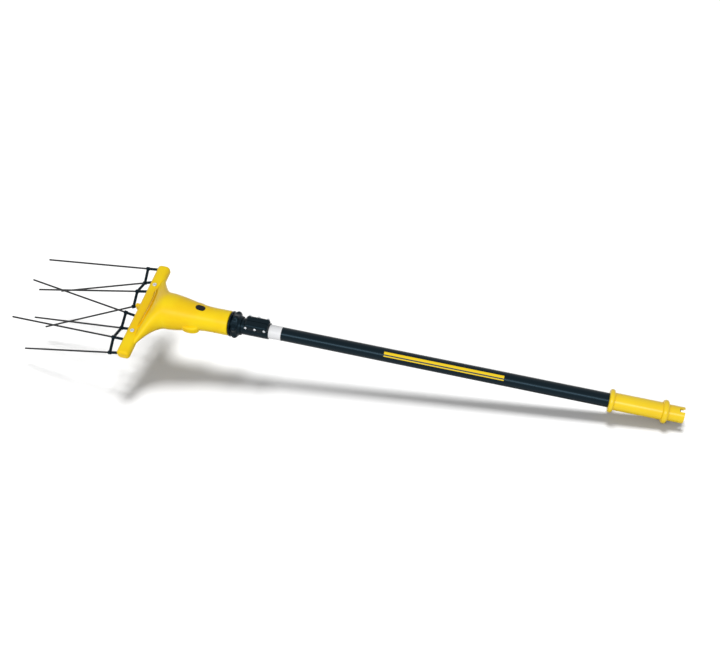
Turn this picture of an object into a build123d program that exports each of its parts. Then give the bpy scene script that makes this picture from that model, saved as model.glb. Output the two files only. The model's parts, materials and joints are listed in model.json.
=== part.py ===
"""Electric olive harvester: a T-shaped head with two swinging combs, on a straight pole with a handle.

Millimetres. While the pieces are drawn, X runs from the front face of the T bar along the pole to the handle,
Y across the T bar and Z up, with the pole's axis at y = z = 0. Each piece is written with X counted from the
mouth of the power inlet.
"""
import math
import os

from build123d import *

# T bar, flare and dome of the head housing
BAR_DEPTH = 33.0
BAR_HEIGHT = 28.0
BAR_HALF_LENGTH = 147.0
BAR_SAG = 1.0
BAR_CORNER = 11.0
BAR_END_ROUND = 7.0
WALL = 3.0
AXIS_DROP = 20.0
COMB_SETBACK = 14.0
FLARE_X = 25.0
FLARE_HALF_WIDTH = 124.0
FLARE_POWER = 1.6
CROWN_POWER = 1.6
FLARE_RISE = 12.0
FLARE_FALL = 18.0
FLARE_SECTIONS = 10
RIB_COUNT = 2
RIB_WIDTH = 3.4
RIB_RISE = 2.2
RIB_X = 36.0
RIB_STEP = 7.0
RIB_BOW = 16.0
RIB_HALF_SPAN = 62.0
DOME_RADIUS = 47.0
DOME_PEAK = 84.0
NECK_RADIUS = 31.6
NECK_LENGTH = 47.0
NECK_ROUND = 3.0
NOTCH_RADIUS = 9.0
NOTCH_DEPTH = 5.0
EAR_REACH = 10.0
EAR_WIDTH = 9.0
EAR_HEIGHT = 17.0
EAR_ROUND = 3.0

# Lugs beside the motor, housing screws, arm screws and the blank badge
LUG_REACH = 45.0
LUG_HALF_LENGTH = 24.0
LUG_HALF_DEPTH = 12.5
LUG_TOP = 3.5
LUG_BOTTOM = -18.0
LUG_ROUND = 5.5
SCREW_RADIUS = 2.0
SCREW_HEAD_RADIUS = 3.6
SCREW_HEAD_HEIGHT = 2.6
SCREW_GAP = 0.1
SCREW_RECESS = 1.0
SCREW_BITE = 7.0
BOSS_WALL = 2.4
FLARE_SCREW_X = 31.0
FLARE_SCREW_Y = 64.0
ARM_SCREW_X = 17.0
ARM_SCREW_Y = 77.0
ARM_SCREW_LENGTH = 2.6
ARM_HEAD_RADIUS = 5.4
ARM_HEAD_HEIGHT = 2.8
BADGE_SETBACK = 77.0
BADGE_TURN = 8.0
BADGE_LENGTH = 25.0
BADGE_WIDTH = 16.0
BADGE_THICKNESS = 1.6
BADGE_SINK = 1.0
BADGE_GAP = 0.1

# Combs: a bar on a shaft, with four sockets, four tines and a zigzag brace
TINE_COUNT = 4
TINE_RADIUS = 2.3
TINE_REACH = 313.0
TINE_ROOT = 4.0
TINE_FIRST = 21.9
TINE_PITCH = 38.6
TINE_GAP = 0.05
HEAD_PITCH = 12.0
TINE_TILT = (-11.0, 2.8, -9.5, 7.2)
TINE_YAW = (9.5, 5.1, 1.3, 3.4)
SOCKET_RADIUS = 3.6
SOCKET_REACH = 31.0
SOCKET_RISE = 3.3
BRACE_RING_RADIUS = 5.0
BRACE_RING_LENGTH = 7.0
BRACE_BAR_RADIUS = 3.7
BRACE_GAP = 0.05
COMB_SHAFT_RADIUS = 5.0
COMB_BAR_FRONT = 7.5
COMB_BAR_REAR = 9.5
COMB_BAR_HALF_HEIGHT = 7.5
COMB_BAR_INNER = 13.0
SHAFT_GAP = 0.05
BUSH_RADIUS = 7.0
INNER_BUSH_LENGTH = 8.0
OUTER_BUSH_LENGTH = 3.0
OUTER_BUSH_COVER = 2.0
END_PLAY = 0.5
CENTRE_BLOCK = 12.5
SWING = 7.0
SLOT_GAP = 0.8

# Crank drive: two throws half a turn apart, each with a roller in a slotted yoke
FRONT_YOKE_X = 51.0
YOKE_STEP = 14.0
YOKE_THICKNESS = 6.0
YOKE_RIM = 3.0
YOKE_FREEDOM = 1.8
YOKE_SIDE_GAP = 0.6
YOKE_ARM_NEAR = 16.0
YOKE_ARM_WIDTH = 6.0
YOKE_ARM_HEIGHT = 8.0
YOKE_FOOT_LENGTH = 20.0
YOKE_FOOT_HEIGHT = 12.0
YOKE_FOOT_THICKNESS = 4.0
YOKE_SCREW_COUNT = 2
YOKE_SCREW_STEP = 6.0
YOKE_SCREW_RADIUS = 1.5
YOKE_SCREW_HEAD = 2.6
YOKE_SCREW_BITE = 3.0
ROLLER_RADIUS = 4.0
ROLLER_LENGTH = 8.0
CRANK_PIN_RADIUS = 2.5
CRANK_WEB = 4.0
CRANK_WEB_RIM = 1.5
JOURNAL_RADIUS = 4.0
RUNNING_GAP = 0.04

# Gear train and the two plates that carry it
CRANK_PLATE_X = 84.0
PLATE_THICKNESS = 6.0
PLATE_SPACING = 28.0
PLATE_SEAT = 0.6
PLATE_GAP = 0.1
PLATE_LIP = 3.0
PLATE_LIP_LENGTH = 4.0
CRANK_BEARING_RADIUS = 11.0
REAR_BEARING_RADIUS = 8.0
SPACER_RADIUS = 4.0
SPACER_GAP = 1.0
SPACER_ANGLES = (15.0, 90.0, 165.0)
GEAR_TEETH = 36
PINION_TEETH = 12
GEAR_WIDTH = 10.0
GEAR_BACKLASH = 0.3
GEAR_ADDENDUM = 0.8
GEAR_DEDENDUM = 1.2
FLANK_STEPS = 4
PRESSURE_ANGLE = 20.0

# Motor
MOTOR_RADIUS = 23.0
MOTOR_LENGTH = 72.0
MOTOR_WALL = 2.0
MOTOR_FRONT = 5.0
MOTOR_CAP = 12.0
MOTOR_SHAFT_RADIUS = 3.0
MOTOR_BEARING_RADIUS = 8.0
MOTOR_BEARING_WIDTH = 5.0
MOTOR_SEAT_LENGTH = 4.0
MAGNET_LENGTH = 50.0
MAGNET_THICKNESS = 3.5
MAGNET_SPAN = 140.0
AIR_GAP = 0.7
ARMATURE_LENGTH = 44.0
ARMATURE_SHIFT = 2.0
ARMATURE_SLOTS = 8
ARMATURE_SLOT_WIDTH = 3.0
ARMATURE_SLOT_DEPTH = 6.0
COMMUTATOR_RADIUS = 8.0
COMMUTATOR_LENGTH = 10.0
BRUSH_WIDTH = 6.0
BRUSH_LENGTH = 8.0
BRUSH_GAP = 0.1
BRUSH_GUIDE_WALL = 2.0
MOTOR_SCREW_PITCH = 14.0

# Spigot, coupling ring and pole clamp
SPIGOT_RADIUS = 22.0
SPIGOT_BORE = 18.0
SPIGOT_GAP = 6.0
SPIGOT_FRONT = 44.0
SPIGOT_FLANGE = 26.0
SPIGOT_FLANGE_THICKNESS = 4.0
SPIGOT_SEAT_LENGTH = 6.0
SPIGOT_PLUG_BORE = 11.0
SPIGOT_PLUG_LENGTH = 50.0
RING_LENGTH = 31.0
RING_RADIUS = 27.5
RING_FACE_GAP = 1.0
RING_LOBES = 6
RING_RIDGE_RADIUS = 33.0
RING_RIDGE_START = 2.0
RING_RIDGE_WIDTH = 4.0
RING_RIDGE_ROUND = 1.4
RING_LOBE_START = 8.0
RING_LOBE_RADIUS = 7.0
RING_LOBE_REACH = 34.5
RING_ROUND = 2.5
RING_WAIST_RADIUS = 24.0
RING_TAPER_LENGTH = 9.0
COLLAR_RADIUS = 21.0
COLLAR_LENGTH = 9.0
CLAMP_LENGTH = 70.0
CLAMP_WALL = 3.3
CLAMP_BLOCK_START = 8.0
CLAMP_BLOCK_HALF_WIDTH = 18.0
CLAMP_BLOCK_TOP = 28.0
CLAMP_BLOCK_ROUND = 7.0
CLAMP_SLIT = 1.2
CLAMP_SCREW_COUNT = 3
CLAMP_SCREW_HEIGHT = 20.6
CLAMP_SCREW_PITCH = 24.0
CLAMP_SCREW_INSET = 7.5
CLAMP_NUT_SIDES = 6
CLAMP_NUT_RADIUS = 3.8
CLAMP_NUT_HEIGHT = 3.2

# Pole, label band, lead, handle and power inlet
POLE_RADIUS = 17.5
POLE_WALL = 1.8
POLE_LENGTH = 1050.0
POLE_FIT = 0.05
LABEL_LENGTH = 32.0
LABEL_THICKNESS = 0.3
LABEL_GAP = 1.0
LEAD_RADIUS = 3.5
GRIP_LENGTH = 138.0
GRIP_RADIUS = 21.3
BEAD_RADIUS = 28.5
FRONT_BEAD = 12.0
REAR_BEAD = 14.0
BEAD_ROUND_SHARE = 0.46
CAP_LENGTH = 37.0
CAP_RADIUS = 19.6
CAP_WALL = 3.2
CAP_FLOOR = 3.0
CAP_PLUG_LENGTH = 22.0
CAP_NOTCH_COUNT = 3
CAP_NOTCH_WIDTH = 10.0
CAP_NOTCH_LENGTH = 12.0
SOCKET_INSET = 10.0
SOCKET_FLOOR = 5.0
SOCKET_WELL = 7.0
INLET_RADIUS = 12.0
WELL_RADIUS = 10.0
CONTACT_RADIUS = 2.0
CONTACT_SPACING = 10.0
CONTACT_TAIL = 4.0

# Heights and stations that follow from the sizes above
COMB_Z = -AXIS_DROP
BAR_Z = COMB_Z - BAR_SAG
BAR_TOP = BAR_Z + BAR_HEIGHT / 2
FLARE_TOP = COMB_Z + FLARE_RISE
FLARE_BOTTOM = COMB_Z - FLARE_FALL
REAR_YOKE_X = FRONT_YOKE_X + YOKE_STEP
COMB_BAR_OUTER = BAR_HALF_LENGTH - OUTER_BUSH_COVER - OUTER_BUSH_LENGTH - END_PLAY
FRONT_THROW = (FRONT_YOKE_X - COMB_SETBACK) * math.tan(math.radians(SWING))
REAR_THROW = (REAR_YOKE_X - COMB_SETBACK) * math.tan(math.radians(SWING))
PIN_HALF_LENGTH = (YOKE_STEP - CRANK_WEB) / 2
GEAR_MODULE = 2 * AXIS_DROP / (GEAR_TEETH + PINION_TEETH)
MOTOR_PLATE_X = CRANK_PLATE_X + PLATE_SPACING
GEAR_X = CRANK_PLATE_X + (PLATE_THICKNESS + PLATE_SPACING - GEAR_WIDTH) / 2
MOTOR_X = MOTOR_PLATE_X + PLATE_THICKNESS
MOTOR_CAP_X = MOTOR_X + MOTOR_LENGTH
MOTOR_END = MOTOR_CAP_X + MOTOR_CAP
LUG_X = MOTOR_X + MOTOR_LENGTH / 2
ARMATURE_X = MOTOR_X + (MOTOR_LENGTH - ARMATURE_LENGTH) / 2 - ARMATURE_SHIFT
COMMUTATOR_X = MOTOR_CAP_X - COMMUTATOR_LENGTH
SPIGOT_X = MOTOR_END + SPIGOT_GAP
HEAD_LENGTH = SPIGOT_X + SPIGOT_FRONT
NECK_START = HEAD_LENGTH - NECK_LENGTH
BADGE_X = HEAD_LENGTH - BADGE_SETBACK
PART_SLOPE = math.atan2(AXIS_DROP, HEAD_LENGTH - COMB_SETBACK)
RING_X = HEAD_LENGTH + RING_FACE_GAP
RING_END = RING_X + RING_LENGTH
COLLAR_X = RING_END - COLLAR_LENGTH
CLAMP_X = RING_END + RING_FACE_GAP
CLAMP_END = CLAMP_X + CLAMP_LENGTH
POLE_X = CLAMP_X + RING_FACE_GAP
POLE_END = POLE_X + POLE_LENGTH
GRIP_X = POLE_END - GRIP_LENGTH
CAP_END = POLE_END + CAP_LENGTH
SOCKET_X = POLE_END + CAP_FLOOR
INLET_X = CAP_END - SOCKET_INSET
WELL_X = SOCKET_X + SOCKET_FLOOR
MOUTH_X = WELL_X + SOCKET_WELL
POLE_BORE = POLE_RADIUS - POLE_WALL
PLUG_RADIUS = POLE_BORE - POLE_FIT
LEAD_Z = -(SPIGOT_PLUG_BORE - LEAD_RADIUS - SCREW_GAP)
FAR = 400.0

FROM_START = (Align.CENTER, Align.CENTER, Align.MIN)


def rod(start, end, radius):
    """A round bar from one point to another."""
    line = Vector(end) - Vector(start)
    return Plane(origin=start, z_dir=line) * Cylinder(radius, line.length, align=FROM_START)


def rod_x(x0, x1, radius, y=0.0, z=0.0):
    return rod((x0, y, z), (x1, y, z), radius)


def rod_y(y0, y1, radius, x, z):
    return rod((x, y0, z), (x, y1, z), radius)


def rod_z(z0, z1, radius, x, y):
    return rod((x, y, z0), (x, y, z1), radius)


def tube_x(x0, x1, outer, inner):
    return rod_x(x0, x1, outer) - rod_x(x0, x1, inner)


def block(x0, x1, y0, y1, z0, z1):
    """A box between two corners."""
    size = (abs(x1 - x0), abs(y1 - y0), abs(z1 - z0))
    return Pos((x0 + x1) / 2, (y0 + y1) / 2, (z0 + z1) / 2) * Box(*size)


def joined(pieces):
    """All of the pieces fused into one."""
    first, *rest = pieces
    return first.fuse(*rest) if rest else first


def group(pieces):
    """Separate solids kept side by side in one node."""
    return Compound(children=[solid for piece in pieces for solid in piece.solids()])


def part_height(x):
    """Height of the parting plane between the two housing shells."""
    return COMB_Z + (x - COMB_SETBACK) * math.tan(PART_SLOPE)


def smooth(t):
    """Ease from 0 to 1, level at both ends."""
    t = min(max(t, 0.0), 1.0)
    return 3 * t**2 - 2 * t**3


def dome_radius(x, wall=0.0):
    """Outer radius of the head behind the dome's widest point, less a wall."""
    fall = smooth((x - DOME_PEAK) / (NECK_START - DOME_PEAK))
    return DOME_RADIUS + (NECK_RADIUS - DOME_RADIUS) * fall - wall


def dome_body(wall, end):
    """The dome's tail and the neck of the head, or their hollow when a wall is given."""
    peak, neck = DOME_RADIUS - wall, NECK_RADIUS - wall
    third = (NECK_START - DOME_PEAK) / 3
    fall = Bezier(
        (DOME_PEAK, peak), (DOME_PEAK + third, peak), (NECK_START - third, neck), (NECK_START, neck)
    )
    rest = Polyline((NECK_START, neck), (end, neck), (end, 0), (DOME_PEAK, 0), (DOME_PEAK, peak))
    body = revolve(make_face([fall, rest]), Axis.X)
    if wall:
        return body
    return fillet(body.edges().filter_by(GeomType.CIRCLE).sort_by(Axis.X)[-1], NECK_ROUND)


def flare_part(x):
    """How far a station lies from the T bar's end of the flare, 0, to the dome's, 1."""
    return min(max((x - FLARE_X) / (DOME_PEAK - FLARE_X), 0.0), 1.0)


def flare_half_width(x):
    return DOME_RADIUS + (FLARE_HALF_WIDTH - DOME_RADIUS) * (1 - flare_part(x)) ** FLARE_POWER


def flare_top(x):
    return DOME_RADIUS + (FLARE_TOP - DOME_RADIUS) * (1 - flare_part(x)) ** CROWN_POWER


def flare_bottom(x):
    return FLARE_BOTTOM - (DOME_RADIUS + FLARE_BOTTOM) * smooth(flare_part(x))


def flare_body(wall, start):
    """The flare from the T bar into the dome, lofted through ellipses, or its hollow inside a wall."""
    sections = []
    for i in range(FLARE_SECTIONS + 1):
        x = start + (DOME_PEAK - start) * i / FLARE_SECTIONS
        half_width = flare_half_width(x + wall) - wall
        top, bottom = flare_top(x - wall) - wall, flare_bottom(x - wall) + wall
        if i == FLARE_SECTIONS:
            half_width = top = DOME_RADIUS - wall
            bottom = -top
        place = Plane(origin=(x, 0, (top + bottom) / 2), x_dir=(0, 1, 0), z_dir=(1, 0, 0))
        sections.append(place * Ellipse(half_width, (top - bottom) / 2))
    return loft(sections)


def ribs():
    """Curved raised lines on top of the flare, behind the T bar."""
    skin = flare_body(-RIB_RISE, FLARE_X)
    radius = (RIB_HALF_SPAN**2 + RIB_BOW**2) / (2 * RIB_BOW)
    lines = []
    for i in range(RIB_COUNT):
        centre = RIB_X + RIB_STEP * i - radius
        line = rod_z(COMB_Z, FAR, radius + RIB_WIDTH / 2, centre, 0)
        line -= rod_z(COMB_Z, FAR, radius - RIB_WIDTH / 2, centre, 0)
        line &= block(0, FAR, -RIB_HALF_SPAN, RIB_HALF_SPAN, COMB_Z, DOME_RADIUS)
        lines.append(line & skin)
    return lines


def plate_radius():
    """Radius of the two plates: as large as the dome's hollow at the motor plate, less a seat."""
    return dome_radius(MOTOR_X + PLATE_GAP, WALL) - PLATE_SEAT


def bar_body():
    section = Plane.XZ * Pos(BAR_DEPTH / 2, BAR_Z) * RectangleRounded(BAR_DEPTH, BAR_HEIGHT, BAR_CORNER)
    bar = extrude(section, BAR_HALF_LENGTH, both=True)
    ends = bar.faces().sort_by(Axis.Y)
    return fillet(ends[0].edges() + ends[-1].edges(), BAR_END_ROUND)


def arm_hollow(side):
    """The room for a comb bar in one arm of the T bar."""
    place = Plane(origin=(BAR_DEPTH / 2, side * CENTRE_BLOCK, BAR_Z), x_dir=(1, 0, 0), z_dir=(0, side, 0))
    outline = RectangleRounded(BAR_DEPTH - 2 * WALL, BAR_HEIGHT - 2 * WALL, BAR_CORNER - WALL)
    return extrude(place * outline, COMB_BAR_OUTER + END_PLAY - CENTRE_BLOCK)


def lug_body(side):
    outline = Pos(LUG_X, side * (LUG_REACH - LUG_HALF_DEPTH)) * Ellipse(LUG_HALF_LENGTH, LUG_HALF_DEPTH)
    lug = Pos(0, 0, LUG_BOTTOM) * extrude(outline, LUG_TOP - LUG_BOTTOM)
    rims = lug.faces().filter_by(GeomType.PLANE).edges()
    return fillet(rims, LUG_ROUND)


def ear_body():
    """The moulded ear beside the notch in the middle of the T bar's front."""
    middle = NOTCH_RADIUS / 2 + EAR_WIDTH / 2
    ear = block(
        -EAR_REACH, BAR_DEPTH / 2, middle - EAR_WIDTH / 2, middle + EAR_WIDTH / 2,
        BAR_Z - EAR_HEIGHT / 2, BAR_Z + EAR_HEIGHT / 2,
    )
    front = ear.faces().sort_by(Axis.X)[0]
    return fillet(front.edges(), EAR_ROUND)


def seat_rings():
    """Inner rings of the housing: (start, end, bore radius) of each."""
    rings = []
    seat = plate_radius() + PLATE_GAP
    lip = seat - PLATE_LIP
    for x in (CRANK_PLATE_X, MOTOR_PLATE_X):
        rings.append((x - PLATE_LIP_LENGTH, x - PLATE_GAP, lip))
        rings.append((x - PLATE_GAP, x + PLATE_THICKNESS + PLATE_GAP, seat))
        rings.append((x + PLATE_THICKNESS + PLATE_GAP, x + PLATE_THICKNESS + PLATE_LIP_LENGTH, lip))
    for x in (MOTOR_X + 2 * MOTOR_SEAT_LENGTH, MOTOR_CAP_X - 2 * MOTOR_SEAT_LENGTH):
        rings.append((x, x + MOTOR_SEAT_LENGTH, MOTOR_RADIUS + PLATE_GAP))
    flange = SPIGOT_X + SPIGOT_SEAT_LENGTH + PLATE_GAP
    bore = SPIGOT_RADIUS + PLATE_GAP
    rings.append((SPIGOT_X, flange, bore))
    flange_end = flange + SPIGOT_FLANGE_THICKNESS + 2 * PLATE_GAP
    rings.append((flange_end, flange_end + SPIGOT_SEAT_LENGTH, bore))
    rings.append((HEAD_LENGTH - SPIGOT_SEAT_LENGTH, HEAD_LENGTH, bore))
    return rings


def flare_underside(x, y):
    """Height of the flare's lower surface at a place."""
    top, bottom = flare_top(x), flare_bottom(x)
    drop = math.sqrt(1 - (y / flare_half_width(x)) ** 2)
    return (top + bottom - (top - bottom) * drop) / 2


def screw_places():
    """(x, y, head seat height) of each housing screw, driven from below."""
    depth = SCREW_HEAD_HEIGHT + SCREW_RECESS
    flare_seat = flare_underside(FLARE_SCREW_X, FLARE_SCREW_Y) + depth
    lug_y = LUG_REACH - LUG_HALF_DEPTH / 2
    places = []
    for side in (1, -1):
        places.append((FLARE_SCREW_X, side * FLARE_SCREW_Y, flare_seat))
        places.append((LUG_X, side * lug_y, LUG_BOTTOM + depth))
    return places


def tine_axes(side):
    """Start and direction of each tine, inner one first. The combs are one part, turned over."""
    pitch = math.radians(HEAD_PITCH)
    axes = []
    for k in range(TINE_COUNT):
        tilt = math.radians(TINE_TILT[k]) * side
        yaw = math.radians(TINE_YAW[k])
        x, z = -COMB_SETBACK, math.copysign(SOCKET_RISE, tilt)
        dx, dz = -math.cos(tilt) * math.cos(yaw), math.sin(tilt)
        start = Vector(
            COMB_SETBACK + x * math.cos(pitch) - z * math.sin(pitch),
            side * (TINE_FIRST + TINE_PITCH * k),
            COMB_Z + x * math.sin(pitch) + z * math.cos(pitch),
        )
        way = Vector(
            dx * math.cos(pitch) - dz * math.sin(pitch),
            -side * math.cos(tilt) * math.sin(yaw),
            dx * math.sin(pitch) + dz * math.cos(pitch),
        )
        axes.append((start, way))
    return axes


def socket_slots():
    """Slots in the T bar's front, each along its socket and clear of it over the whole swing."""
    slots = []
    half_width = SOCKET_RADIUS + SLOT_GAP
    half_height = half_width + (COMB_SETBACK + EAR_REACH) * math.tan(math.radians(SWING))
    outline = RectangleRounded(2 * half_width, 2 * half_height, half_width - SLOT_GAP)
    for side in (1, -1):
        for start, way in tine_axes(side):
            place = Plane(origin=start - way * 2 * WALL, x_dir=(0, 1, 0), z_dir=way)
            slots.append(extrude(place * outline, 2 * (EAR_REACH + WALL)))
    return slots


def housing():
    """The whole head housing, before it is split along its parting plane."""
    shell = flare_body(0.0, FLARE_X).fuse(dome_body(0.0, HEAD_LENGTH))
    outer = joined([shell, bar_body(), ear_body(), lug_body(1), lug_body(-1)] + ribs())
    notch_x = NOTCH_DEPTH - NOTCH_RADIUS
    outer -= rod_z(-FAR, FAR, NOTCH_RADIUS, notch_x, NOTCH_DEPTH - NOTCH_RADIUS)
    hollow = flare_body(WALL, BAR_DEPTH - 2 * WALL).fuse(dome_body(WALL, HEAD_LENGTH))
    for x0, x1, radius in seat_rings():
        hollow -= tube_x(x0, x1, 2 * DOME_RADIUS, radius)
    hollow = hollow.fuse(arm_hollow(1), arm_hollow(-1))
    bosses = [rod_z(-FAR, FAR, SCREW_RADIUS + BOSS_WALL, x, y) for x, y, seat in screw_places()]
    body = outer - hollow.cut(*bosses)
    bush_end = COMB_BAR_OUTER + END_PLAY + OUTER_BUSH_LENGTH
    body -= rod_y(-bush_end, bush_end, BUSH_RADIUS, COMB_SETBACK, COMB_Z)
    body = body.cut(*socket_slots())
    for x, y, seat in screw_places():
        body -= rod_z(seat, part_height(x) + SCREW_BITE + SCREW_GAP, SCREW_RADIUS + SCREW_GAP, x, y)
        body -= rod_z(-FAR, seat, SCREW_HEAD_RADIUS + SCREW_GAP, x, y)
    for side in (1, -1):
        hole = rod_z(BAR_TOP - ARM_SCREW_LENGTH, BAR_TOP, SCREW_RADIUS, ARM_SCREW_X, side * ARM_SCREW_Y)
        body -= hole
    return body - badge_solid(BADGE_GAP)


def badge_plane():
    radius = dome_radius(BADGE_X)
    slope = math.atan2(dome_radius(BADGE_X + 1) - dome_radius(BADGE_X - 1), 2)
    turn = math.radians(BADGE_TURN)
    along = Vector(math.cos(slope), math.sin(slope) * math.sin(turn), math.sin(slope) * math.cos(turn))
    out = Vector(-math.sin(slope), math.cos(slope) * math.sin(turn), math.cos(slope) * math.cos(turn))
    point = (BADGE_X, radius * math.sin(turn), radius * math.cos(turn))
    return Plane(origin=point, x_dir=along, z_dir=out)


def badge_solid(gap):
    outline = SlotOverall(BADGE_LENGTH + 2 * gap, BADGE_WIDTH + 2 * gap)
    rise = BADGE_THICKNESS - BADGE_SINK + gap * BADGE_LENGTH
    return extrude(badge_plane() * Pos(0, 0, -BADGE_SINK) * outline, BADGE_SINK + rise)


def badge():
    outline = SlotOverall(BADGE_LENGTH, BADGE_WIDTH)
    return extrude(badge_plane() * Pos(0, 0, -BADGE_SINK) * outline, BADGE_THICKNESS)


def half_housing(body, keep):
    plane = Plane(
        origin=(COMB_SETBACK, 0, COMB_Z),
        x_dir=(math.cos(PART_SLOPE), 0, math.sin(PART_SLOPE)),
        z_dir=(-math.sin(PART_SLOPE), 0, math.cos(PART_SLOPE)),
    )
    return split(body, bisect_by=plane, keep=keep)


def housing_screws():
    screws = []
    for x, y, seat in screw_places():
        shank = rod_z(seat, part_height(x) + SCREW_BITE, SCREW_RADIUS, x, y)
        screws.append(shank.fuse(rod_z(seat - SCREW_HEAD_HEIGHT, seat, SCREW_HEAD_RADIUS, x, y)))
    return group(screws)


def arm_screws():
    screws = []
    for side in (1, -1):
        y = side * ARM_SCREW_Y
        head = rod_z(BAR_TOP, BAR_TOP + ARM_HEAD_HEIGHT, ARM_HEAD_RADIUS, ARM_SCREW_X, y)
        head = fillet(head.edges().sort_by(Axis.Z)[-1], ARM_HEAD_HEIGHT / 2)
        shank = rod_z(BAR_TOP - ARM_SCREW_LENGTH, BAR_TOP, SCREW_RADIUS, ARM_SCREW_X, y)
        screws.append(head.fuse(shank))
    return group(screws)


def comb_bar(side):
    """Moulded bar on the comb shaft, with a socket for each tine."""
    bar = block(
        COMB_SETBACK - COMB_BAR_FRONT, COMB_SETBACK + COMB_BAR_REAR,
        side * COMB_BAR_INNER, side * COMB_BAR_OUTER,
        COMB_Z - COMB_BAR_HALF_HEIGHT, COMB_Z + COMB_BAR_HALF_HEIGHT,
    )
    sockets = []
    bores = []
    for start, way in tine_axes(side):
        sockets.append(rod(start - way * COMB_BAR_FRONT, start + way * SOCKET_REACH, SOCKET_RADIUS))
        bores.append(rod(start - way * TINE_ROOT, start + way * TINE_REACH, TINE_RADIUS + TINE_GAP))
    bar = bar.fuse(*sockets).cut(*bores)
    bar -= rod_y(-FAR, FAR, COMB_SHAFT_RADIUS, COMB_SETBACK, COMB_Z)
    for x, y in yoke_screw_places(side):
        bar -= rod_x(x - YOKE_SCREW_BITE, x, YOKE_SCREW_RADIUS, y, COMB_Z)
    return bar


def comb_shaft(side):
    inner = CENTRE_BLOCK - INNER_BUSH_LENGTH
    outer = COMB_BAR_OUTER + OUTER_BUSH_LENGTH
    return rod_y(side * inner, side * outer, COMB_SHAFT_RADIUS, COMB_SETBACK, COMB_Z)


def bush(side, inner, length):
    ring = rod_y(side * inner, side * (inner + length), BUSH_RADIUS, COMB_SETBACK, COMB_Z)
    return ring - rod_y(-FAR, FAR, COMB_SHAFT_RADIUS + SHAFT_GAP, COMB_SETBACK, COMB_Z)


def tine(side, k):
    """One carbon rod with a rounded tip."""
    start, way = tine_axes(side)[k]
    tip = start + way * (TINE_REACH - TINE_RADIUS)
    body = rod(start - way * TINE_ROOT, tip, TINE_RADIUS)
    return body.fuse(Pos(*tip) * Sphere(TINE_RADIUS))


def tine_brace(side):
    """Zigzag brace: a ring on each socket's end and a bar from ring to ring."""
    axes = tine_axes(side)
    middle = SOCKET_REACH - BRACE_RING_LENGTH / 2
    rings = []
    for start, way in axes:
        rings.append(rod(start + way * (SOCKET_REACH - BRACE_RING_LENGTH), start + way * SOCKET_REACH,
                         BRACE_RING_RADIUS))
    centres = [start + way * middle for start, way in axes]
    bars = [rod(a, b, BRACE_BAR_RADIUS) for a, b in zip(centres, centres[1:])]
    bores = [rod(start, start + way * 2 * SOCKET_REACH, SOCKET_RADIUS + BRACE_GAP) for start, way in axes]
    return joined(rings + bars).cut(*bores)


def yoke_screw_places(side):
    first = YOKE_ARM_NEAR + YOKE_ARM_WIDTH + YOKE_SCREW_HEAD + SCREW_GAP
    return [
        (COMB_SETBACK + COMB_BAR_REAR, side * (first + YOKE_SCREW_STEP * i))
        for i in range(YOKE_SCREW_COUNT)
    ]


def yoke(side, x, throw):
    """Slotted yoke behind the comb bar, with the crank's roller in its slot."""
    foot_x = COMB_SETBACK + COMB_BAR_REAR
    half_slot = ROLLER_RADIUS + YOKE_FREEDOM
    half_width = throw + ROLLER_RADIUS + YOKE_SIDE_GAP
    arm_far = YOKE_ARM_NEAR + YOKE_ARM_WIDTH
    foot = block(
        foot_x, foot_x + YOKE_FOOT_THICKNESS,
        side * YOKE_ARM_NEAR, side * (YOKE_ARM_NEAR + YOKE_FOOT_LENGTH),
        COMB_Z - YOKE_FOOT_HEIGHT / 2, COMB_Z + YOKE_FOOT_HEIGHT / 2,
    )
    arm = block(
        foot_x, x + YOKE_THICKNESS / 2, side * YOKE_ARM_NEAR, side * arm_far,
        COMB_Z - YOKE_ARM_HEIGHT / 2, COMB_Z + YOKE_ARM_HEIGHT / 2,
    )
    frame = block(
        x - YOKE_THICKNESS / 2, x + YOKE_THICKNESS / 2, -side * (half_width + YOKE_RIM), side * arm_far,
        COMB_Z - half_slot - YOKE_RIM, COMB_Z + half_slot + YOKE_RIM,
    )
    slot = block(x - YOKE_THICKNESS, x + YOKE_THICKNESS, -half_width, half_width,
                 COMB_Z - half_slot, COMB_Z + half_slot)
    body = joined([foot, arm, frame]) - slot
    for sx, sy in yoke_screw_places(side):
        body -= rod_x(sx, sx + YOKE_FOOT_THICKNESS, YOKE_SCREW_RADIUS + SCREW_GAP, sy, COMB_Z)
    return body


def yoke_screws(side):
    screws = []
    for x, y in yoke_screw_places(side):
        seat = x + YOKE_FOOT_THICKNESS
        shank = rod_x(x - YOKE_SCREW_BITE, seat, YOKE_SCREW_RADIUS, y, COMB_Z)
        screws.append(shank.fuse(rod_x(seat, seat + YOKE_SCREW_RADIUS, YOKE_SCREW_HEAD, y, COMB_Z)))
    return group(screws)


def crankshaft():
    """Journal, two webs and two pins half a turn apart: the front pin on +Y, the rear pin on -Y."""
    web_radius = REAR_THROW + CRANK_PIN_RADIUS + CRANK_WEB_RIM
    front_start, front_end = FRONT_YOKE_X - PIN_HALF_LENGTH, FRONT_YOKE_X + PIN_HALF_LENGTH
    rear_start, rear_end = REAR_YOKE_X - PIN_HALF_LENGTH, REAR_YOKE_X + PIN_HALF_LENGTH
    journal_end = MOTOR_PLATE_X + MOTOR_BEARING_WIDTH
    return joined([
        rod_x(front_start, front_end, CRANK_PIN_RADIUS, FRONT_THROW, COMB_Z),
        rod_x(front_end, rear_start, web_radius, 0, COMB_Z),
        rod_x(rear_start, rear_end, CRANK_PIN_RADIUS, -REAR_THROW, COMB_Z),
        rod_x(rear_end, rear_end + CRANK_WEB, web_radius, 0, COMB_Z),
        rod_x(rear_end + CRANK_WEB, journal_end, JOURNAL_RADIUS, 0, COMB_Z),
    ])


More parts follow.
